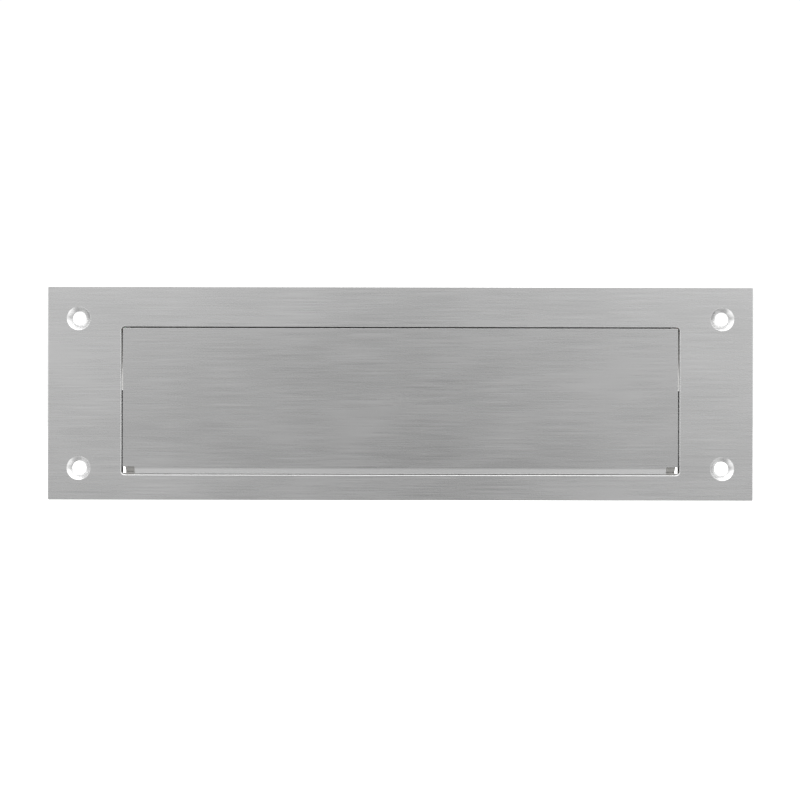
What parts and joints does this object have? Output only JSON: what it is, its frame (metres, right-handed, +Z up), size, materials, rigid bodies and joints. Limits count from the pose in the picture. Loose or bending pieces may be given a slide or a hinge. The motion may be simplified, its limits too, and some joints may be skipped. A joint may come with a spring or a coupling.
{
  "type": "letter plate",
  "caption": "Brushed stainless letter plate with a flush, spring-closed flap that swings inwards on a hinge rod behind the plate, and countersunk screw holes in the corners.",
  "frame": {"origin": "centre of the front plate's rear face, which lies on the door", "axes": "+X along the plate's length, +Y into the door, +Z up; the brushed front faces -Y"},
  "size_m": [0.33, 0.0142, 0.1],
  "materials": {
    "brushed_stainless": "stainless 304 sheet, brushed lengthways, deburred edges",
    "pressed_stainless": "mill-finish stainless sheet, pressed and folded",
    "drawn_steel": "bright drawn stainless bar",
    "spring_steel": "drawn stainless spring wire",
    "zinc_plated_steel": "bright zinc plated steel",
    "black_oxide_steel": "black oxide on spring steel",
    "natural_nylon": "moulded natural nylon",
    "black_rubber": "moulded black rubber"
  },
  "bodies": {
    "plate": {"front_plate": "brushed_stainless", "hinge_bracket_left": "pressed_stainless", "hinge_bracket_right": "pressed_stainless", "pivot_bush_left": "natural_nylon", "pivot_bush_right": "natural_nylon", "return_spring_left": "spring_steel", "return_spring_right": "spring_steel", "stop_buffer_left": "black_rubber", "stop_buffer_right": "black_rubber", "draught_strip_top": "black_rubber", "draught_strip_left": "black_rubber", "draught_strip_right": "black_rubber", "weld_stud_left_upper": "drawn_steel", "weld_stud_left_lower": "drawn_steel", "weld_stud_right_upper": "drawn_steel", "weld_stud_right_lower": "drawn_steel", "lock_washer_left_upper": "zinc_plated_steel", "lock_washer_left_lower": "zinc_plated_steel", "lock_washer_right_upper": "zinc_plated_steel", "lock_washer_right_lower": "zinc_plated_steel", "stud_nut_left_upper": "zinc_plated_steel", "stud_nut_left_lower": "zinc_plated_steel", "stud_nut_right_upper": "zinc_plated_steel", "stud_nut_right_lower": "zinc_plated_steel"},
    "flap": {"flap": "brushed_stainless", "closing_strip": "pressed_stainless", "flap_lug_left": "pressed_stainless", "flap_lug_right": "pressed_stainless", "hinge_rod": "drawn_steel", "rod_washer_left": "zinc_plated_steel", "rod_washer_right": "zinc_plated_steel", "retaining_clip_left": "black_oxide_steel", "retaining_clip_right": "black_oxide_steel"}
  },
  "joints": [
    {"name": "flap_hinge", "type": "hinge", "parent": "plate", "child": "flap", "pos_m": [0, 0.006, 0.033], "axis": [1, 0, 0], "range_deg": [0, 90], "stiffness_Nm_per_rad": 0.06, "springref_deg": -68.75, "deforming": ["return_spring_left", "return_spring_right"]}
  ]
}
